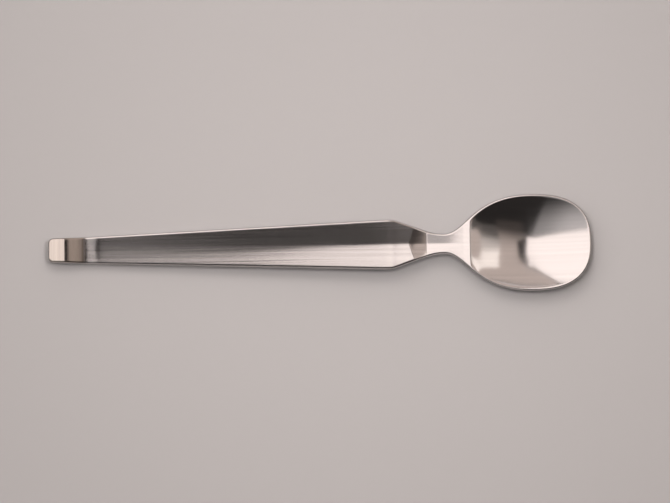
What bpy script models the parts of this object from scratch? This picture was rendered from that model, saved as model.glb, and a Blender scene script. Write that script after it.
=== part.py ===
"""A baby spoon pressed from one blank of stainless steel, as a bowl, a neck and a handle that meet face to face.

The spoon lies along X with the end of its handle at -X and its bowl at +X. The back of the bowl rests on Z = 0, and
the underside of the handle comes down to within 0.2 mm of it near the handle's end. Sizes are in metres.
"""

import math

import bmesh
import bpy
from mathutils import Vector

# Lengths along the spoon, which add up to its overall length
HANDLE_LENGTH = 0.0887
SHOULDER_LENGTH = 0.0131
BOWL_REAR_LENGTH = 0.0227
BOWL_FRONT_LENGTH = 0.0155

# Widths across the spoon
HANDLE_END_WIDTH = 0.0062
SHOULDER_WIDTH = 0.0129
NECK_WIDTH = 0.0049
BOWL_WIDTH = 0.0250

# Outline details
END_CORNER_RADIUS = 0.0012
SHOULDER_ANGLE = math.radians(20.5)
SHOULDER_CORNER_SOFTNESS = 0.0003
NECK_SOFTNESS = 0.0008
NECK_FLARE_REACH = 0.0062
BOWL_FLARE_REACH = 0.0150
BOWL_FRONT_SQUARENESS = 2.6

# Heights and thicknesses
HANDLE_ANGLE = math.radians(2.2)
HANDLE_EDGE_THICKNESS = 0.0024
NECK_THICKNESS = 0.0026
BOWL_THICKNESS = 0.0012
EDGE_RADIUS = 0.0005

# The end of the handle steps up on a short ramp with rounded corners to a level land
LAND_LENGTH = 0.0038
RAMP_LENGTH = 0.0054
RAMP_SOFTNESS = 0.0015
LAND_STEP = 0.00175

# A shallow V runs along the handle and the neck. It deepens towards the shoulder, and its valley gets sharper there
TROUGH_START = 0.0093
TROUGH_RUN_IN = 0.0042
END_TROUGH_SLOPE = 0.025
SHOULDER_TROUGH_SLOPE = 0.09
NECK_TROUGH_SLOPE = 0.08
END_VALLEY_ROUNDNESS = 0.60
SHOULDER_VALLEY_ROUNDNESS = 0.08

# Past the shoulder's corners the handle bends down to the neck in one flat facet, which begins later at the edges
BEND_START = 0.0043
BEND_LENGTH = 0.0045
BEND_SKEW = 0.0013
BEND_SOFTNESS = 0.0002

# The bowl is a dish that meets the neck in a crisp crest, with a squarer bottom there than further on
BOWL_DEPTH = 0.0036
BOWL_REAR_REACH = 0.0157
BOWL_REAR_SQUARENESS = 2.8
BOWL_SQUARENESS = 2.0
BOWL_CREST_SOFTNESS = 0.00012

# Behind the neck's narrowest place the back is flat, and over this length beyond it the back swells to the bowl's
HEEL_LENGTH = 0.0150

# Where the blank is cut into its named stretches, back from the narrowest place of the neck and on from it
NECK_START = 0.0048
NECK_END = 0.0052

# Mesh steps
COLUMNS = 10
CORNER_ROWS = 3
END_ROWS = 16
HANDLE_ROWS = 8
SHOULDER_ROWS = 5
BEND_ROWS = 6
NECK_REAR_ROWS = 4
NECK_FRONT_ROWS = 6
BOWL_REAR_ROWS = 16
BOWL_FRONT_ROWS = 8
EDGE_SEGMENTS = 3
SHOULDER_CORNER_REACH = 0.0012
FLANK_HALVINGS = 40
SHARP_ANGLE = math.radians(40.0)

# Steel as the photograph shows it
STEEL_COLOUR = (0.60, 0.56, 0.53, 1.0)
STEEL_ROUGHNESS = 0.28

# Places along the spoon, measured from the end of the handle
SHOULDER_AT = HANDLE_LENGTH
NECK_AT = SHOULDER_AT + SHOULDER_LENGTH
BOWL_AT = NECK_AT + BOWL_REAR_LENGTH
LENGTH = BOWL_AT + BOWL_FRONT_LENGTH
RAMP_END = LAND_LENGTH + RAMP_LENGTH
BEND_AT = SHOULDER_AT + BEND_START
BEND_END = BEND_AT + BEND_LENGTH
TROUGH_AT = TROUGH_START + TROUGH_RUN_IN
CREST_AT = BOWL_AT - BOWL_REAR_REACH

# The back of the bowl touches Z = 0, so the rim stands as high as the bowl is deep and thick
RIM_HEIGHT = BOWL_DEPTH + BOWL_THICKNESS


def ease(start, end, place):
    """Rises smoothly from 0 at start to 1 at end."""
    share = min(max((place - start) / (end - start), 0.0), 1.0)
    return share * share * (3.0 - 2.0 * share)


def mix(first, second, share):
    return first + (second - first) * share


def ramp(start, end, place, softness):
    """Rises in a straight line from 0 at start to 1 at end, with rounded corners."""
    risen = math.hypot(place - start, softness) - math.hypot(place - end, softness)
    return 0.5 * (1.0 + risen / (end - start))


def rounded_lesser(first, second, softness):
    return 0.5 * (first + second - math.hypot(first - second, softness))


def rounded_greater(first, second, softness):
    return 0.5 * (first + second + math.hypot(first - second, softness))


def bowl_flank(place):
    """Half width of the curve that swells from the neck to the widest place of the bowl."""
    low, high = 0.0, 1.0
    reach_out = NECK_AT + NECK_FLARE_REACH
    reach_in = BOWL_AT - BOWL_FLARE_REACH
    for _ in range(FLANK_HALVINGS):
        t = 0.5 * (low + high)
        u = 1.0 - t
        along = u ** 3 * NECK_AT + 3 * u * u * t * reach_out + 3 * u * t * t * reach_in + t ** 3 * BOWL_AT
        if along < place:
            low = t
        else:
            high = t
    return mix(NECK_WIDTH / 2, BOWL_WIDTH / 2, ease(0.0, 1.0, t))


def core_half_width(place):
    """Half the width of the blank inside its rounded edges, from the handle's end to the bowl's widest place."""
    taper = mix(HANDLE_END_WIDTH / 2, SHOULDER_WIDTH / 2, place / SHOULDER_AT) - EDGE_RADIUS
    if place < END_CORNER_RADIUS:
        core_radius = END_CORNER_RADIUS - EDGE_RADIUS
        inset = min(END_CORNER_RADIUS - place, core_radius)
        taper -= core_radius - math.sqrt(core_radius ** 2 - inset ** 2)
    shoulder = SHOULDER_WIDTH / 2 - EDGE_RADIUS - (place - SHOULDER_AT) * math.tan(SHOULDER_ANGLE)
    grip = rounded_lesser(taper, shoulder, SHOULDER_CORNER_SOFTNESS)
    flank = bowl_flank(place) - EDGE_RADIUS
    return rounded_greater(grip, flank, NECK_SOFTNESS * ease(0.0, SHOULDER_AT, place))


def bend(place, across):
    """How far the metal has come from the handle's climb to the level of the neck, from 0 to 1."""
    return ramp(BEND_AT + BEND_SKEW * abs(across), BEND_END, place, BEND_SOFTNESS)


def edge_height(place, across):
    """Height of the upper edges: a stepped end, a climb to the shoulder, a bend down to the neck and the rim."""
    handle = HANDLE_EDGE_THICKNESS + (place - RAMP_END) * math.tan(HANDLE_ANGLE)
    handle += LAND_STEP * (1.0 - ramp(LAND_LENGTH, RAMP_END, place, RAMP_SOFTNESS))
    return mix(handle, RIM_HEIGHT, bend(place, across))


def trough_depth(place, across, half_width):
    """Depth below the edges of the shallow V along the handle and the neck."""
    along = (place - TROUGH_START) / (SHOULDER_AT - TROUGH_START)
    slope = mix(END_TROUGH_SLOPE, SHOULDER_TROUGH_SLOPE, along)
    slope *= ease(TROUGH_START, TROUGH_AT, place)
    slope = mix(slope, NECK_TROUGH_SLOPE, bend(place, across))
    slope *= 1.0 - ease(NECK_AT, CREST_AT, place)
    roundness = mix(END_VALLEY_ROUNDNESS, SHOULDER_VALLEY_ROUNDNESS, ease(TROUGH_START, SHOULDER_AT, place))
    rise = (math.hypot(across, roundness) - roundness) / (math.hypot(1.0, roundness) - roundness)
    return slope * half_width * (1.0 - rise)


def dish_share(place, across):
    """How much of the dish's depth is left at a share of the half width: 1 in the middle, 0 at the edge."""
    squareness = mix(BOWL_REAR_SQUARENESS, BOWL_SQUARENESS, ease(CREST_AT, BOWL_AT, place))
    return 1.0 - abs(across) ** squareness


def hollow_depth(place, across, half_width):
    """Depth of the trough, or of the bowl's dish where that is deeper, below the edges."""
    share = dish_share(place, across)
    dish = BOWL_DEPTH * (1.0 - ((BOWL_AT - place) / BOWL_REAR_REACH) ** 2) * share
    softness = BOWL_CREST_SOFTNESS * (1.0 - ease(CREST_AT, BOWL_AT, place)) * share
    return rounded_greater(trough_depth(place, across, half_width), dish, softness)


def blank_point(place, across):
    """Upper and lower points of the blank behind the widest place of the bowl."""
    half_width = core_half_width(place)
    upper = edge_height(place, across) - hollow_depth(place, across, half_width)
    flat_back = edge_height(place, 0.0) - mix(HANDLE_EDGE_THICKNESS, NECK_THICKNESS, bend(place, 0.0))
    dished_back = upper - BOWL_THICKNESS
    lower = mix(flat_back, dished_back, ease(NECK_AT, NECK_AT + HEEL_LENGTH, place))
    x = place - LENGTH / 2
    y = across * half_width
    return Vector((x, y, upper)), Vector((x, y, lower))


def bowl_front_point(ahead, across):
    """Upper and lower points of the bowl's rounded front, from a square grid bent to a superellipse."""
    disc_x = ahead * math.sqrt(1.0 - across * across / 2)
    disc_y = across * math.sqrt(1.0 - ahead * ahead / 2)
    radius = math.hypot(disc_x, disc_y)
    turn = math.atan2(disc_y, disc_x)
    power = BOWL_FRONT_SQUARENESS
    stretch = (abs(math.cos(turn)) ** power + abs(math.sin(turn)) ** power) ** (-1.0 / power)
    upper = RIM_HEIGHT - BOWL_DEPTH * dish_share(BOWL_AT, radius)
    x = BOWL_AT - LENGTH / 2 + (BOWL_FRONT_LENGTH - EDGE_RADIUS) * disc_x * stretch
    y = (BOWL_WIDTH / 2 - EDGE_RADIUS) * disc_y * stretch
    return Vector((x, y, upper)), Vector((x, y, upper - BOWL_THICKNESS))


def steps(start, end, count):
    """Evenly spaced places from start up to, but not including, end."""
    return [mix(start, end, step / count) for step in range(count)]


def blank_rows():
    """Rows of upper and lower points, from the handle's end to the front of the bowl."""
    shares = [2.0 * column / COLUMNS - 1.0 for column in range(COLUMNS + 1)]
    turns = steps(0.0, math.pi / 2, CORNER_ROWS)
    places = [END_CORNER_RADIUS - (END_CORNER_RADIUS - EDGE_RADIUS) * math.cos(turn) for turn in turns]
    places += steps(END_CORNER_RADIUS, TROUGH_AT, END_ROWS)
    places += steps(TROUGH_AT, SHOULDER_AT - SHOULDER_CORNER_REACH, HANDLE_ROWS)
    places += steps(SHOULDER_AT - SHOULDER_CORNER_REACH, BEND_AT, SHOULDER_ROWS)
    places += steps(BEND_AT, BEND_END, BEND_ROWS)
    places += steps(BEND_END, NECK_AT, NECK_REAR_ROWS)
    places += steps(NECK_AT, CREST_AT, NECK_FRONT_ROWS)
    places += steps(CREST_AT, BOWL_AT, BOWL_REAR_ROWS)
    rows = [[blank_point(place, share) for share in shares] for place in places]
    for row in range(BOWL_FRONT_ROWS + 1):
        rows.append([bowl_front_point(row / BOWL_FRONT_ROWS, share) for share in shares])
    return rows


def rim_points(upper, lower, before, after):
    """Points down the rounded edge, from the upper border point to the lower one."""
    along = after - before
    outward = Vector((along.y, -along.x, 0.0)).normalized()
    points = []
    for step in range(1, EDGE_SEGMENTS + 1):
        turn = math.pi / 2 * step / EDGE_SEGMENTS
        drop = Vector((0.0, 0.0, EDGE_RADIUS * (1.0 - math.cos(turn))))
        points.append(upper + outward * EDGE_RADIUS * math.sin(turn) - drop)
    for step in range(EDGE_SEGMENTS, 0, -1):
        turn = math.pi / 2 * step / EDGE_SEGMENTS
        lift = Vector((0.0, 0.0, EDGE_RADIUS * (1.0 - math.cos(turn))))
        points.append(lower + outward * EDGE_RADIUS * math.sin(turn) + lift)
    return points


def whole_blank():
    """The whole spoon as one closed mesh with rounded edges."""
    mesh = bmesh.new()
    rows = blank_rows()
    upper = [[mesh.verts.new(point[0]) for point in row] for row in rows]
    lower = [[mesh.verts.new(point[1]) for point in row] for row in rows]
    last = len(rows) - 1
    for row in range(last):
        for column in range(COLUMNS):
            a, b = upper[row][column], upper[row + 1][column]
            c, d = upper[row + 1][column + 1], upper[row][column + 1]
            mesh.faces.new((a, b, c, d))
            a, b = lower[row][column], lower[row + 1][column]
            c, d = lower[row + 1][column + 1], lower[row][column + 1]
            mesh.faces.new((d, c, b, a))
    border = [(row, 0) for row in range(last)]
    border += [(last, column) for column in range(COLUMNS)]
    border += [(row, COLUMNS) for row in range(last, 0, -1)]
    border += [(0, column) for column in range(COLUMNS, 0, -1)]
    strips = []
    for spot, (row, column) in enumerate(border):
        before = border[spot - 1]
        after = border[(spot + 1) % len(border)]
        points = rim_points(upper[row][column].co, lower[row][column].co,
                            upper[before[0]][before[1]].co, upper[after[0]][after[1]].co)
        strips.append([upper[row][column], *map(mesh.verts.new, points), lower[row][column]])
    for here, there in zip(strips, strips[1:] + strips[:1]):
        for step in range(len(here) - 1):
            mesh.faces.new((there[step], here[step], here[step + 1], there[step + 1]))
    return mesh


def cut_away(mesh, place, beyond):
    """Cuts the mesh square across at a place, keeps the near or the far side and closes the cut."""
    cut_point = Vector((place - LENGTH / 2, 0.0, 0.0))
    everything = mesh.verts[:] + mesh.edges[:] + mesh.faces[:]
    cut = bmesh.ops.bisect_plane(mesh, geom=everything, plane_co=cut_point, plane_no=Vector((1.0, 0.0, 0.0)),
                                 clear_outer=beyond, clear_inner=not beyond)
    rim = [item for item in cut["geom_cut"] if isinstance(item, bmesh.types.BMEdge)]
    bmesh.ops.contextual_create(mesh, geom=rim)


def steel(name):
    material = bpy.data.materials.new(name)
    material.use_nodes = True
    shader = material.node_tree.nodes["Principled BSDF"]
    shader.inputs["Base Color"].default_value = STEEL_COLOUR
    shader.inputs["Metallic"].default_value = 1.0
    shader.inputs["Roughness"].default_value = STEEL_ROUGHNESS
    return material


def stretch_of_blank(name, start, end, spoon):
    """One named stretch of the blank between two cuts, where None is an end of the spoon."""
    mesh = whole_blank()
    if start is not None:
        cut_away(mesh, start, beyond=False)
    if end is not None:
        cut_away(mesh, end, beyond=True)
    bmesh.ops.recalc_face_normals(mesh, faces=mesh.faces)
    data = bpy.data.meshes.new(name)
    mesh.to_mesh(data)
    mesh.free()
    data.materials.append(steel(name + "_steel"))
    data.shade_smooth()
    data.set_sharp_from_angle(angle=SHARP_ANGLE)
    piece = bpy.data.objects.new(name, data)
    piece.parent = spoon
    bpy.context.collection.objects.link(piece)


for old in list(bpy.data.objects):
    bpy.data.objects.remove(old)
spoon_root = bpy.data.objects.new("baby_spoon", None)
bpy.context.collection.objects.link(spoon_root)
stretch_of_blank("handle", None, NECK_AT - NECK_START, spoon_root)
stretch_of_blank("neck", NECK_AT - NECK_START, NECK_AT + NECK_END, spoon_root)
stretch_of_blank("bowl", NECK_AT + NECK_END, None, spoon_root)
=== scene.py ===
import math

import bpy
from mathutils import Matrix, Vector


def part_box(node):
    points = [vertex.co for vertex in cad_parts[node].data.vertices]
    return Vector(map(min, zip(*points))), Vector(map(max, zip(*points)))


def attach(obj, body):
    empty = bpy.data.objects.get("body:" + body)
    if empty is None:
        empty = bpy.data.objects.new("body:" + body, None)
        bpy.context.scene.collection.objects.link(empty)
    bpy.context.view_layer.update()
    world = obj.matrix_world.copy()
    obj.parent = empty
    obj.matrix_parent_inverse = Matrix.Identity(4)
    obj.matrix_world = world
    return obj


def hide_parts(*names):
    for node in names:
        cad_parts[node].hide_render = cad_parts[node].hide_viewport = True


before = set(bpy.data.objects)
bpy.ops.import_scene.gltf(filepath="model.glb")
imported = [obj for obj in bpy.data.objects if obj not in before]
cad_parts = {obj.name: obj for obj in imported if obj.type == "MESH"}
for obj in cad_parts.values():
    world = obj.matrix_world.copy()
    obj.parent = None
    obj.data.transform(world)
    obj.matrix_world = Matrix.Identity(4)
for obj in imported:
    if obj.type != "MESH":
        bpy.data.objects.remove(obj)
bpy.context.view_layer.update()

# The blank
# The whole spoon is one blank of stainless steel, cut to outline and pressed between dies: a troughed
# handle with a stepped end, a pinched neck and a dished bowl. It is shaped here in one go, so that the metal
# runs on unbroken, and the named stretches are then taken from it.
MM = 0.001
LENGTH = 140.0 * MM
EDGE_RADIUS = 0.5 * MM


def ease(start, end, place):
    """Rises smoothly from 0 at start to 1 at end."""
    share = min(max((place - start) / (end - start), 0.0), 1.0)
    return share * share * (3.0 - 2.0 * share)


def mix(first, second, share):
    """The value at a share of the way from the first to the second."""
    return first + (second - first) * share


def ramp(start, end, place, softness):
    """Rises in a straight line from 0 at start to 1 at end, with rounded corners."""
    risen = math.hypot(place - start, softness) - math.hypot(place - end, softness)
    return 0.5 * (1.0 + risen / (end - start))


def rounded_lesser(first, second, softness):
    """The lesser of two values, rounded where they cross."""
    return 0.5 * (first + second - math.hypot(first - second, softness))


def rounded_greater(first, second, softness):
    """The greater of two values, rounded where they cross."""
    return 0.5 * (first + second + math.hypot(first - second, softness))


# Outline from above, with places measured from the handle's end
SHOULDER_AT = 88.7 * MM
NECK_AT = 101.8 * MM
BOWL_AT = 124.5 * MM
HANDLE_END_WIDTH = 6.2 * MM
SHOULDER_WIDTH = 12.9 * MM
NECK_WIDTH = 4.9 * MM
BOWL_WIDTH = 25.0 * MM
END_CORNER_RADIUS = 1.2 * MM
SHOULDER_ANGLE = math.radians(20.5)
SHOULDER_CORNER_SOFTNESS = 0.3 * MM
NECK_SOFTNESS = 0.8 * MM
NECK_FLARE_REACH = 6.2 * MM
BOWL_FLARE_REACH = 15.0 * MM
HALVINGS = 40


def bowl_flank(place):
    """Half width of the curve that swells from the neck to the widest place of the bowl."""
    low, high = 0.0, 1.0
    reach_out = NECK_AT + NECK_FLARE_REACH
    reach_in = BOWL_AT - BOWL_FLARE_REACH
    for _ in range(HALVINGS):
        t = 0.5 * (low + high)
        u = 1.0 - t
        along = u ** 3 * NECK_AT + 3 * u * u * t * reach_out + 3 * u * t * t * reach_in + t ** 3 * BOWL_AT
        if along < place:
            low = t
        else:
            high = t
    return mix(NECK_WIDTH / 2, BOWL_WIDTH / 2, ease(0.0, 1.0, t))


def core_half_width(place):
    """Half the width inside the rounded edges, from the handle's end to the bowl's widest place."""
    taper = mix(HANDLE_END_WIDTH / 2, SHOULDER_WIDTH / 2, place / SHOULDER_AT) - EDGE_RADIUS
    if place < END_CORNER_RADIUS:
        core_radius = END_CORNER_RADIUS - EDGE_RADIUS
        inset = min(END_CORNER_RADIUS - place, core_radius)
        taper -= core_radius - math.sqrt(core_radius ** 2 - inset ** 2)
    shoulder = SHOULDER_WIDTH / 2 - EDGE_RADIUS - (place - SHOULDER_AT) * math.tan(SHOULDER_ANGLE)
    grip = rounded_lesser(taper, shoulder, SHOULDER_CORNER_SOFTNESS)
    flank = bowl_flank(place) - EDGE_RADIUS
    return rounded_greater(grip, flank, NECK_SOFTNESS * ease(0.0, SHOULDER_AT, place))


# Upper edges from the side
HANDLE_ANGLE = math.radians(2.2)
HANDLE_EDGE_THICKNESS = 2.4 * MM
LAND_LENGTH = 3.8 * MM
LAND_STEP = 1.75 * MM
RAMP_END = 9.2 * MM
RAMP_SOFTNESS = 1.5 * MM
BEND_AT = 93.0 * MM
BEND_END = 97.5 * MM
BEND_SKEW = 1.3 * MM
BEND_SOFTNESS = 0.03 * MM
BOWL_DEPTH = 3.6 * MM
BOWL_THICKNESS = 1.2 * MM
RIM_HEIGHT = BOWL_DEPTH + BOWL_THICKNESS


def bend(place, across):
    """How far the metal has come from the handle's climb to the neck's level: 0 to 1, later at the edges."""
    return ramp(BEND_AT + BEND_SKEW * abs(across), BEND_END, place, BEND_SOFTNESS)


def edge_height(place, across):
    """Height of the upper edges: a stepped end, a climb to the shoulder, a bend down to neck and rim."""
    handle = HANDLE_EDGE_THICKNESS + (place - RAMP_END) * math.tan(HANDLE_ANGLE)
    handle += LAND_STEP * (1.0 - ramp(LAND_LENGTH, RAMP_END, place, RAMP_SOFTNESS))
    return mix(handle, RIM_HEIGHT, bend(place, across))


# Hollow of the upper face: a V along the handle and the neck, then the bowl's dish
TROUGH_START = 9.3 * MM
TROUGH_RUN_IN = 4.2 * MM
END_TROUGH_SLOPE = 0.025
SHOULDER_TROUGH_SLOPE = 0.09
NECK_TROUGH_SLOPE = 0.08
END_VALLEY_ROUNDNESS = 0.60
SHOULDER_VALLEY_ROUNDNESS = 0.08
BOWL_REAR_REACH = 15.7 * MM
BOWL_REAR_SQUARENESS = 2.8
BOWL_MIDDLE_SQUARENESS = 2.0
BOWL_CREST_SOFTNESS = 0.06 * MM
CREST_AT = BOWL_AT - BOWL_REAR_REACH


def trough_depth(place, across, half_width):
    """Depth below the edges of the shallow V along the handle and the neck."""
    deepened = (place - TROUGH_START) / (SHOULDER_AT - TROUGH_START)
    slope = mix(END_TROUGH_SLOPE, SHOULDER_TROUGH_SLOPE, deepened)
    slope *= ease(TROUGH_START, TROUGH_START + TROUGH_RUN_IN, place)
    slope = mix(slope, NECK_TROUGH_SLOPE, bend(place, across))
    slope *= 1.0 - ease(NECK_AT, CREST_AT, place)
    sharpened = ease(TROUGH_START, SHOULDER_AT, place)
    roundness = mix(END_VALLEY_ROUNDNESS, SHOULDER_VALLEY_ROUNDNESS, sharpened)
    rise = (math.hypot(across, roundness) - roundness) / (math.hypot(1.0, roundness) - roundness)
    return slope * half_width * (1.0 - rise)


def dish_share(place, across):
    """Share of the dish's depth at a share of the half width: flat-bottomed at the rear, round in front."""
    squareness = mix(BOWL_REAR_SQUARENESS, BOWL_MIDDLE_SQUARENESS, ease(CREST_AT, BOWL_AT, place))
    return 1.0 - abs(across) ** squareness


def hollow_depth(place, across, half_width):
    """Depth of the trough, or of the bowl's dish where that is deeper, below the edges."""
    share = dish_share(place, across)
    dish = BOWL_DEPTH * (1.0 - ((BOWL_AT - place) / BOWL_REAR_REACH) ** 2) * share
    softness = BOWL_CREST_SOFTNESS * (1.0 - ease(CREST_AT, BOWL_AT, place)) * share
    return rounded_greater(trough_depth(place, across, half_width), dish, softness)


# Both faces together
NECK_THICKNESS = 2.6 * MM
HEEL_LENGTH = 15.0 * MM
BOWL_FRONT_SQUARENESS = 2.6


def shank_points(place, across):
    """Upper and lower points of the blank behind the widest place of the bowl."""
    half_width = core_half_width(place)
    edge = edge_height(place, across)
    upper = edge - hollow_depth(place, across, half_width)
    flat_back = edge_height(place, 0.0) - mix(HANDLE_EDGE_THICKNESS, NECK_THICKNESS, bend(place, 0.0))
    lower = mix(flat_back, upper - BOWL_THICKNESS, ease(NECK_AT, NECK_AT + HEEL_LENGTH, place))
    x = place - LENGTH / 2
    y = across * half_width
    return Vector((x, y, upper)), Vector((x, y, lower))


def bowl_front_points(ahead, across):
    """Upper and lower points of the bowl's rounded front, from a square grid bent to a superellipse."""
    disc_x = ahead * math.sqrt(1.0 - across * across / 2)
    disc_y = across * math.sqrt(1.0 - ahead * ahead / 2)
    radius = math.hypot(disc_x, disc_y)
    turn = math.atan2(disc_y, disc_x)
    power = BOWL_FRONT_SQUARENESS
    stretch = (abs(math.cos(turn)) ** power + abs(math.sin(turn)) ** power) ** (-1.0 / power)
    upper = RIM_HEIGHT - BOWL_DEPTH * dish_share(BOWL_AT, radius)
    x = BOWL_AT - LENGTH / 2 + (LENGTH - BOWL_AT - EDGE_RADIUS) * disc_x * stretch
    y = (BOWL_WIDTH / 2 - EDGE_RADIUS) * disc_y * stretch
    return Vector((x, y, upper)), Vector((x, y, upper - BOWL_THICKNESS))


def steps(start, end, count):
    """Evenly spaced places from start up to, but not including, end."""
    return [mix(start, end, step / count) for step in range(count)]


# Rows stand close where the metal turns sharply: at the stepped end, the shoulder's bend and the bowl's
# crest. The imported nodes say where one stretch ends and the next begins.
HANDLE_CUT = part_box("neck")[0].x + LENGTH / 2
BOWL_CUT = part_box("neck")[1].x + LENGTH / 2
STEPPED_END = 14.0 * MM
SHOULDER_NEAR = 87.0 * MM
BEND_START_MARGIN = 0.4 * MM
BEND_END_MARGIN = 0.1 * MM
CREST_MARGIN = 0.6 * MM
CORNER_ROWS = 6
FRONT_ROWS = 40
COLUMNS = 48
row_runs = [
    (END_CORNER_RADIUS, 56),
    (STEPPED_END, 73),
    (SHOULDER_NEAR, 12),
    (BEND_AT - BEND_START_MARGIN, 48),
    (BEND_AT + BEND_SKEW + BEND_START_MARGIN, 8),
    (HANDLE_CUT, 3),
    (BEND_END - BEND_END_MARGIN, 16),
    (BEND_END + BEND_END_MARGIN, 38),
    (BOWL_CUT, 5),
    (CREST_AT - CREST_MARGIN, 32),
    (CREST_AT + CREST_MARGIN, 50),
    (BOWL_AT, 0),
]
shares = [2.0 * column / COLUMNS - 1.0 for column in range(COLUMNS + 1)]
corner_turns = steps(0.0, math.pi / 2, CORNER_ROWS)
places = [END_CORNER_RADIUS - (END_CORNER_RADIUS - EDGE_RADIUS) * math.cos(turn) for turn in corner_turns]
for (start, count), (end, _) in zip(row_runs, row_runs[1:]):
    places += steps(start, end, count)
rows = [[shank_points(place, share) for share in shares] for place in places]
for row in range(FRONT_ROWS + 1):
    rows.append([bowl_front_points(row / FRONT_ROWS, share) for share in shares])
LAST = len(rows) - 1

# A flat slab with one square for each square of the finished faces is the start, and its rim is cut into the
# steps of the rounded edge
EDGE_STEPS = 6
EDGE_CUTS = 2 * EDGE_STEPS
BOTTOM_STEP = EDGE_CUTS + 1
SLAB_THICKNESS = 1.0
bpy.ops.object.select_all(action="DESELECT")
bpy.ops.mesh.primitive_grid_add(x_subdivisions=LAST, y_subdivisions=COLUMNS, size=2.0)
blank = bpy.context.object
blank.name = "blank"
bpy.ops.object.mode_set(mode="EDIT")
bpy.ops.mesh.select_all(action="SELECT")
bpy.ops.mesh.extrude_region_move(TRANSFORM_OT_translate={"value": (0.0, 0.0, -SLAB_THICKNESS)})
bpy.ops.mesh.select_mode(type="EDGE")
bpy.ops.mesh.select_all(action="DESELECT")
bpy.ops.object.mode_set(mode="OBJECT")
for edge in blank.data.edges:
    ends = [blank.data.vertices[index].co.z for index in edge.vertices]
    edge.select = abs(ends[0] - ends[1]) > SLAB_THICKNESS / 2
bpy.ops.object.mode_set(mode="EDIT")
bpy.ops.mesh.subdivide(number_cuts=EDGE_CUTS)
bpy.ops.object.mode_set(mode="OBJECT")

border = [(row, 0) for row in range(LAST)]
border += [(LAST, column) for column in range(COLUMNS)]
border += [(row, COLUMNS) for row in range(LAST, 0, -1)]
border += [(0, column) for column in range(COLUMNS, 0, -1)]
outward = {}
for spot, corner in enumerate(border):
    before = border[spot - 1]
    after = border[(spot + 1) % len(border)]
    along = rows[after[0]][after[1]][0] - rows[before[0]][before[1]][0]
    outward[corner] = Vector((along.y, -along.x, 0.0)).normalized()


def pressed(corner):
    """Where a corner of the slab goes when the blank is pressed: a face, or a step of the rounded edge."""
    row = round((corner.x + 1.0) / 2 * LAST)
    column = round((corner.y + 1.0) / 2 * COLUMNS)
    step = round(-corner.z / SLAB_THICKNESS * BOTTOM_STEP)
    upper, lower = rows[row][column]
    if step == 0:
        return upper
    if step == BOTTOM_STEP:
        return lower
    from_top = step <= EDGE_STEPS
    turn = math.pi / 2 * (step if from_top else BOTTOM_STEP - step) / EDGE_STEPS
    out = outward[row, column] * EDGE_RADIUS * math.sin(turn)
    down = Vector((0.0, 0.0, EDGE_RADIUS * (1.0 - math.cos(turn))))
    return upper + out - down if from_top else lower + out + down


for vertex in blank.data.vertices:
    vertex.co = pressed(vertex.co)
bpy.ops.object.mode_set(mode="EDIT")
bpy.ops.mesh.select_all(action="SELECT")
bpy.ops.mesh.normals_make_consistent(inside=False)
bpy.ops.object.mode_set(mode="OBJECT")
bpy.ops.object.shade_smooth()

# The grain runs with the map's first direction
grain_map = blank.data.uv_layers[0]
grain_map.name = "grain"
for loop in blank.data.loops:
    corner = blank.data.vertices[loop.vertex_index].co
    grain_map.data[loop.index].uv = (corner.x / LENGTH, corner.y / LENGTH)

# The handle and the neck mirror what is around them as if their upper face leaned towards one edge and
# dropped towards the bowl. Only the shading normals are turned for that, and the shape stays the same on
# both sides.
UPPER_FACE = 0.9
END_LEAN = math.radians(9.4)
SHOULDER_LEAN = math.radians(6.0)
FLANK_LEAN_LOSS = math.radians(2.6)
FACET_LEAN = math.radians(-2.5)
NECK_LEAN = math.radians(1.4)
END_DROP = math.radians(8.5)
SHOULDER_DROP = math.radians(4.8)
FLANK_DROP = math.radians(2.0)
START_LEAN_SHARE = 0.7
START_DROP_SHARE = 0.5
DROP_GONE_AT_BEND = 0.1
FACE_BEGINS = (7.5 * MM, 9.5 * MM)
HOLLOW_BEGINS = (11.0 * MM, 13.0 * MM)
LEAN_RELAXES = (44.0 * MM, 95.0 * MM)
LEAN_LOST = (80.0 * MM, 93.0 * MM)
FLANK_BEGINS = (SHOULDER_AT - 0.8 * MM, SHOULDER_AT + 0.8 * MM)
NECK_BEGINS = (BEND_END - 0.2 * MM, BEND_END + 0.5 * MM)


def sheen_turns(place, y):
    """How far the shading leans about the spoon's length and drops towards the bowl."""
    begun = ease(*FACE_BEGINS, place)
    hollowed = ease(*HOLLOW_BEGINS, place)
    bent = bend(place, y / core_half_width(place)) if place < BOWL_AT else 1.0
    lean = mix(END_LEAN, SHOULDER_LEAN, ease(*LEAN_RELAXES, place))
    lean -= FLANK_LEAN_LOSS * ease(*LEAN_LOST, place)
    lean = mix(lean * mix(START_LEAN_SHARE * begun, 1.0, hollowed), FACET_LEAN, bent)
    lean = mix(lean, NECK_LEAN, ease(*NECK_BEGINS, place))
    lean *= 1.0 - ease(BEND_END, CREST_AT, place)
    drop = mix(END_DROP, SHOULDER_DROP, place / SHOULDER_AT)
    drop += FLANK_DROP * ease(*FLANK_BEGINS, place)
    drop *= mix(START_DROP_SHARE * begun, 1.0, hollowed) * (1.0 - ease(0.0, DROP_GONE_AT_BEND, bent))
    return lean, drop


facing = blank.data.attributes.new("facing", "FLOAT_VECTOR", "POINT")
for vertex in blank.data.vertices:
    normal = vertex.normal.copy()
    if normal.z > UPPER_FACE:
        lean, drop = sheen_turns(vertex.co.x + LENGTH / 2, vertex.co.y)
        normal.rotate(Matrix.Rotation(drop, 3, "Y"))
        normal.rotate(Matrix.Rotation(lean, 3, "X"))
    facing.data[vertex.index].vector = normal


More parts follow.
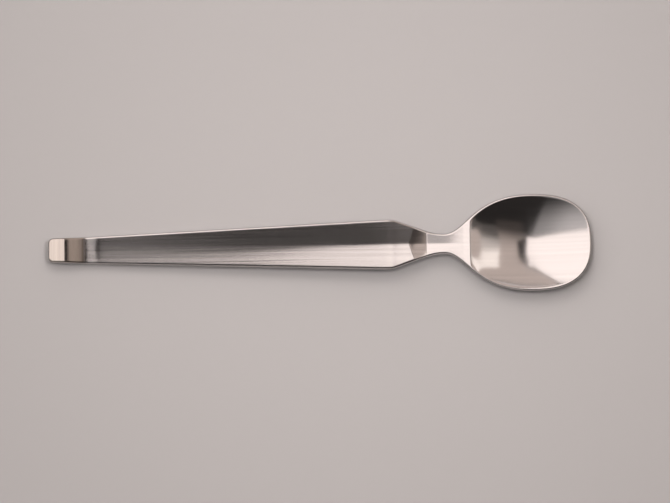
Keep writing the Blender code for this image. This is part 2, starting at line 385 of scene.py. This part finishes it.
# Handle
# The long tapered grip: a trough pressed into a flat-backed bar of steel, wide at the shoulder and stepped
# up at its end. It is belted lengthwise, and the end's land and ramp are brushed crosswise.
def stretch_of_blank(name, cuts):
    """A named stretch of the blank, cut off square and closed there, shaded as the unbroken metal."""
    bpy.ops.object.select_all(action="DESELECT")
    piece = bpy.data.objects.new(name, blank.data.copy())
    piece.data.name = name
    bpy.context.collection.objects.link(piece)
    bpy.context.view_layer.objects.active = piece
    piece.select_set(True)
    bpy.ops.object.mode_set(mode="EDIT")
    for place, side in cuts:
        bpy.ops.mesh.select_all(action="SELECT")
        bpy.ops.mesh.bisect(plane_co=(place - LENGTH / 2, 0.0, 0.0), plane_no=(side, 0.0, 0.0),
                            clear_outer=True, use_fill=True)
    bpy.ops.object.mode_set(mode="OBJECT")
    normals = []
    kept = piece.data.attributes["facing"].data
    for polygon in piece.data.polygons:
        closes_cut = len(polygon.vertices) > 4
        for index in polygon.vertices:
            normals.append(polygon.normal.copy() if closes_cut else kept[index].vector.copy())
    piece.data.normals_split_custom_set(normals)
    piece.data.attributes.remove(piece.data.attributes["facing"])
    return piece


def linear(code):
    """An sRGB hex colour as linear light."""
    parts = [int(code[place:place + 2], 16) / 255 for place in (1, 3, 5)]
    return [part / 12.92 if part <= 0.04045 else ((part + 0.055) / 1.055) ** 2.4 for part in parts] + [1.0]


def node(tree, kind, settings=None, links=None, **values):
    """Adds a node with its settings, its input values and its links from other nodes' outputs."""
    made = tree.nodes.new(kind)
    for name, value in (settings or {}).items():
        setattr(made, name, value)
    for name, value in values.items():
        made.inputs[name.replace("_", " ")].default_value = value
    for name, output in (links or {}).items():
        tree.links.new(output, made.inputs[name])
    return made


# Scratches lie in wider bands of deeper and shallower brushing
BAND_SPREAD = (0.4, 0.3, 0.3)
BAND_WEIGHT = 3.0
DARKEST_HEIGHT = 1.1
PALEST_HEIGHT = 2.9
ROUGHNESS_SWING = 0.15


def brushed_steel(name, tones, streak_length, streak_width, depth, across, roughness, spread):
    """Stainless steel with scratches of a given length and width, along the spoon or across it."""
    material = bpy.data.materials.new(name)
    material.use_nodes = True
    tree = material.node_tree
    shader = tree.nodes["Principled BSDF"]
    shader.inputs["Metallic"].default_value = 1.0
    shader.inputs["Anisotropic"].default_value = spread
    shader.inputs["Anisotropic Rotation"].default_value = 0.0 if across else 0.25
    long_scale = 1.0 / streak_length
    wide_scale = 1.0 / streak_width
    scale = (wide_scale, long_scale, long_scale) if across else (long_scale, wide_scale, long_scale)
    place = node(tree, "ShaderNodeTexCoord")
    laid = node(tree, "ShaderNodeMapping", links={"Vector": place.outputs["Object"]}, Scale=scale)
    scratches = node(tree, "ShaderNodeTexNoise", links={"Vector": laid.outputs["Vector"]},
                     Scale=1.0, Detail=3.0, Roughness=0.6)
    wide = node(tree, "ShaderNodeMapping", links={"Vector": laid.outputs["Vector"]}, Scale=BAND_SPREAD)
    bands = node(tree, "ShaderNodeTexNoise", links={"Vector": wide.outputs["Vector"]},
                 Scale=1.0, Detail=2.0, Roughness=0.5)
    height = node(tree, "ShaderNodeMath", {"operation": "MULTIPLY_ADD"},
                  {0: bands.outputs["Fac"], 2: scratches.outputs["Fac"]})
    height.inputs[1].default_value = BAND_WEIGHT
    share = node(tree, "ShaderNodeMapRange", links={"Value": height.outputs["Value"]},
                 From_Min=DARKEST_HEIGHT, From_Max=PALEST_HEIGHT)
    rough = node(tree, "ShaderNodeMapRange", links={"Value": scratches.outputs["Fac"]},
                 From_Min=0.3, From_Max=0.7,
                 To_Min=roughness * (1.0 - ROUGHNESS_SWING), To_Max=roughness * (1.0 + ROUGHNESS_SWING))
    tone = node(tree, "ShaderNodeMix", {"data_type": "RGBA"}, {0: share.outputs["Result"]})
    tone.inputs[6].default_value = linear(tones[1])
    tone.inputs[7].default_value = linear(tones[0])
    relief = node(tree, "ShaderNodeBump", links={"Height": height.outputs["Value"]},
                  Strength=1.0, Distance=depth)
    grain = node(tree, "ShaderNodeTangent", {"direction_type": "UV_MAP", "uv_map": "grain"})
    tree.links.new(tone.outputs[2], shader.inputs["Base Color"])
    tree.links.new(rough.outputs["Result"], shader.inputs["Roughness"])
    tree.links.new(relief.outputs["Normal"], shader.inputs["Normal"])
    tree.links.new(grain.outputs["Tangent"], shader.inputs["Tangent"])
    return material


# Stainless steel belted along the spoon: fine parallel scratches that spread a reflection across the grain
# and keep it crisp along it. Real ones are a few hundredths of a millimetre wide, and these are drawn wider
# to show.
BELTED_STEEL = ("#CBC7C6", "#B7B3B2")
belted = brushed_steel(
    "steel_brushed_lengthwise", BELTED_STEEL, streak_length=40.0 * MM, streak_width=0.30 * MM,
    depth=0.006 * MM, across=False, roughness=0.16, spread=0.8)

# Stainless steel brushed across the end: short, shallow scratches that leave it glossier and warmer
WARM_STEEL = ("#B4ADA7", "#A69F99")
cross_brushed = brushed_steel(
    "steel_brushed_crosswise", WARM_STEEL, streak_length=5.0 * MM, streak_width=0.30 * MM,
    depth=0.0008 * MM, across=True, roughness=0.10, spread=0.3)

CROSSWISE_END = 9.0 * MM
handle = stretch_of_blank("handle_skin", [(HANDLE_CUT, 1.0)])
handle.data.materials.append(belted)
handle.data.materials.append(cross_brushed)
for polygon in handle.data.polygons:
    on_land = polygon.center.x + LENGTH / 2 < CROSSWISE_END and polygon.normal.z > 0.5
    polygon.material_index = 1 if on_land else 0
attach(handle, "root")
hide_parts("handle")

# Neck
# The pinched waist where the handle's metal is drawn in before it opens out to the bowl. It is the same
# piece of steel, polished a little brighter.
neck = stretch_of_blank("neck_skin", [(HANDLE_CUT, -1.0), (BOWL_CUT, 1.0)])

# Satin stainless steel: shallower scratches than on the handle, so its reflections are smoother and paler
SATIN_STEEL = ("#C7C3C2", "#C0BCBB")
satin_neck = brushed_steel(
    "steel_satin_neck", SATIN_STEEL, streak_length=40.0 * MM, streak_width=0.25 * MM,
    depth=0.001 * MM, across=False, roughness=0.18, spread=0.7)
neck.data.materials.append(satin_neck)
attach(neck, "root")
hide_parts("neck")

# Bowl
# The shallow dish with a blunt front, pressed thinner than the handle from the same steel blank. It is
# polished after brushing.
bowl = stretch_of_blank("bowl_skin", [(BOWL_CUT, -1.0)])

# Satin stainless steel, polished: long faint scratches that leave a nearly clear mirror
satin_bowl = brushed_steel(
    "steel_satin_bowl", SATIN_STEEL, streak_length=80.0 * MM, streak_width=0.20 * MM,
    depth=0.0005 * MM, across=False, roughness=0.14, spread=0.5)
bowl.data.materials.append(satin_bowl)
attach(bowl, "root")
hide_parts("bowl")
bpy.data.objects.remove(blank)

# Floor
# A pale matt table top that runs up into a low sweep all round, so that no edge shows from the side. It is
# made from a ring that is drawn down and in, and then filled.
FLOOR_COLOUR = "#A3A2A2"
FLOOR_RADIUS = 1.2
FLOOR_CORNERS = 128
SWEEP_RADIUS = 0.3
SWEEP_STEPS = 10
width = FLOOR_RADIUS + SWEEP_RADIUS
height = SWEEP_RADIUS
bpy.ops.object.select_all(action="DESELECT")
bpy.ops.mesh.primitive_circle_add(vertices=FLOOR_CORNERS, radius=width, location=(0.0, 0.0, height))
floor = bpy.context.object
floor.name = "floor"
bpy.ops.object.mode_set(mode="EDIT")
bpy.ops.mesh.select_mode(type="EDGE")
bpy.ops.mesh.select_all(action="SELECT")
for step in range(1, SWEEP_STEPS + 1):
    turn = math.pi / 2 * step / SWEEP_STEPS
    next_width = FLOOR_RADIUS + SWEEP_RADIUS * math.cos(turn)
    next_height = SWEEP_RADIUS * (1.0 - math.sin(turn))
    bpy.ops.mesh.extrude_region_move(TRANSFORM_OT_translate={"value": (0.0, 0.0, next_height - height)})
    bpy.ops.transform.resize(value=(next_width / width, next_width / width, 1.0))
    width, height = next_width, next_height
bpy.ops.mesh.edge_face_add()
bpy.ops.object.mode_set(mode="OBJECT")
bpy.ops.object.shade_smooth()

# Matt paint: an even pale grey without a highlight
matt = bpy.data.materials.new("matt_table")
matt.use_nodes = True
matt_shader = matt.node_tree.nodes["Principled BSDF"]
matt_shader.inputs["Base Color"].default_value = linear(FLOOR_COLOUR)
matt_shader.inputs["Roughness"].default_value = 0.9
floor.data.materials.append(matt)

# Light
# Large soft cards well above the table, placed by the direction in which the spoon sees them, in degrees
# from straight up: first towards the bowl's end, then towards the top of the picture. Lamps add light on
# the table alone.
CARD_HEIGHT = 2.0
WHITE_CARD = "#FFF4EF"
CREAM_CARD = "#FFF4EC"
TAN_CARD = "#DACAC1"
COOL_CARD = "#F8F2F0"


def reach(angle):
    """How far to the side a direction meets the cards' level."""
    return CARD_HEIGHT * math.tan(math.radians(angle))


def card(name, corners, colour, strength, fade_x=None, fade_y=None):
    """A glowing card. A fade runs between two directions, each with its share of the strength."""
    mesh = bpy.data.meshes.new(name)
    points = [(reach(ax), reach(ay), CARD_HEIGHT) for ax, ay in corners]
    mesh.from_pydata(points, [], [list(range(len(points)))])
    made = bpy.data.objects.new(name, mesh)
    bpy.context.collection.objects.link(made)
    glow = bpy.data.materials.new(name)
    glow.use_nodes = True
    tree = glow.node_tree
    tree.nodes.remove(tree.nodes["Principled BSDF"])
    light = node(tree, "ShaderNodeEmission", Color=linear(colour), Strength=strength)
    place = node(tree, "ShaderNodeTexCoord")
    split = node(tree, "ShaderNodeSeparateXYZ", links={"Vector": place.outputs["Object"]})
    levels = []
    for axis, fade in (("X", fade_x), ("Y", fade_y)):
        if fade:
            (start, start_share), (end, end_share) = fade
            full = 1.0 if levels else strength
            level = node(tree, "ShaderNodeMapRange", {"interpolation_type": "SMOOTHSTEP"},
                         {"Value": split.outputs[axis]}, From_Min=reach(start), From_Max=reach(end),
                         To_Min=start_share * full, To_Max=end_share * full)
            levels.append(level.outputs["Result"])
    if len(levels) == 2:
        both = node(tree, "ShaderNodeMath", {"operation": "MULTIPLY"}, {0: levels[0], 1: levels[1]})
        levels = [both.outputs["Value"]]
    if levels:
        tree.links.new(levels[0], light.inputs["Strength"])
    tree.links.new(light.outputs["Emission"], tree.nodes["Material Output"].inputs["Surface"])
    made.data.materials.append(glow)
    made.visible_camera = False


# The bright field of the bowl, the neck and the handle's lower half, with the dark arc at its right edge
card("key_card",
     [(-62, -0.5), (3.5, -2), (8.5, -4.3), (9, 5), (9.7, 12), (9.4, 22), (8.2, 31), (8.5, 37), (3, 47),
      (-13, 59), (-62, 60)],
     WHITE_CARD, 1.87)
# The tan field beyond the arc, which goes dark towards the top of the bowl
card("tan_card",
     [(10.5, -24), (31, -24), (31, 62), (-8, 63), (-11, 60), (4, 48), (9.5, 40), (10, 37), (12.6, 31),
      (15, 22), (16.5, 12), (17, 8), (16.8, 3.5), (10.5, -0.5)],
     TAN_CARD, 1.15, fade_y=((-13, 0.10), (14, 1.0)))
# The white patch near the bowl's crest, and the tan stripe between them
card("right_card", [(31, -14), (45.3, -14), (45.3, 38), (31, 38)],
     CREAM_CARD, 1.72, fade_y=((0, 0.08), (16.5, 1.0)))
card("far_right_card", [(45.3, -12), (66, -12), (66, 62), (31, 62), (31, 38), (45.3, 38)], TAN_CARD, 1.15)
# The grey sheen in the upper right of the bowl
card("lower_left_card", [(-62, -65), (-5, -65), (6, -5), (5.5, -3.2), (3.5, -2.6), (-62, -1.1)],
     COOL_CARD, 0.85, fade_x=((-30, 1.0), (3, 0.6)), fade_y=((-52, 0.10), (-5, 1.0)))
# The bright line along the upper edges
card("top_card", [(-55, 64), (60, 64), (60, 79), (-55, 79)],
     WHITE_CARD, 2.1, fade_x=((-15, 1.0), (10, 0.5)))
# Fill for the views from behind
card("back_card", [(-60, -66), (60, -66), (60, -83), (-60, -83)], WHITE_CARD, 0.9)
card("low_card", [(69, -35), (63, -63), (35, -69), (68, -84), (84, -68)], CREAM_CARD, 0.8)

LAMP_COLOUR = "#FFF6F4"


def lamp(name, location, size, energy):
    """A soft round lamp aimed at the middle of the table, which the steel doesn't mirror."""
    made = bpy.data.objects.new(name, bpy.data.lights.new(name, "AREA"))
    made.data.shape = "DISK"
    made.data.size = size
    made.data.energy = energy
    made.data.color = linear(LAMP_COLOUR)[:3]
    made.location = location
    made.rotation_euler = (-Vector(location)).to_track_quat("-Z", "Y").to_euler()
    made.visible_camera = False
    made.visible_glossy = False
    bpy.context.collection.objects.link(made)


lamp("high_lamp", (0.1, 0.0, 1.5), size=0.4, energy=1.5)
lamp("table_lamp", (0.02, 0.0, 0.22), size=0.06, energy=0.24)
lamp("upper_lamp", (0.0, 0.15, 0.25), size=0.10, energy=0.16)

STUDIO_COLOUR = "#FFF4EE"
STUDIO_STRENGTH = 0.03
world = bpy.data.worlds.new("studio")
world.use_nodes = True
world.node_tree.nodes["Background"].inputs["Color"].default_value = linear(STUDIO_COLOUR)
world.node_tree.nodes["Background"].inputs["Strength"].default_value = STUDIO_STRENGTH
bpy.context.scene.world = world
bpy.context.scene.view_settings.view_transform = "Standard"

# Camera
# Almost straight above the spoon, leaning a little towards the bottom of the picture, with a long lens that
# takes in the spoon and a wide margin.
FRAME_WIDTH = 172.6 * MM
CAMERA_DISTANCE = 0.65
CAMERA_LEAN = math.radians(6.0)
PICTURE_TURN = math.radians(0.94)
SENSOR_WIDTH = 36.0
AIM = Vector((3.9 * MM, -1.5 * MM, 4.0 * MM))
right = Vector((math.cos(PICTURE_TURN), -math.sin(PICTURE_TURN), 0.0))
plan_up = Vector((math.sin(PICTURE_TURN), math.cos(PICTURE_TURN), 0.0))
back = Vector((0.0, 0.0, math.cos(CAMERA_LEAN))) - plan_up * math.sin(CAMERA_LEAN)
camera = bpy.data.objects.new("camera", bpy.data.cameras.new("camera"))
camera.data.sensor_width = SENSOR_WIDTH
camera.data.lens = SENSOR_WIDTH * CAMERA_DISTANCE / FRAME_WIDTH
camera.matrix_world = Matrix((right, back.cross(right), back)).transposed().to_4x4()
camera.location = AIM + back * CAMERA_DISTANCE
bpy.context.collection.objects.link(camera)
bpy.context.scene.camera = camera
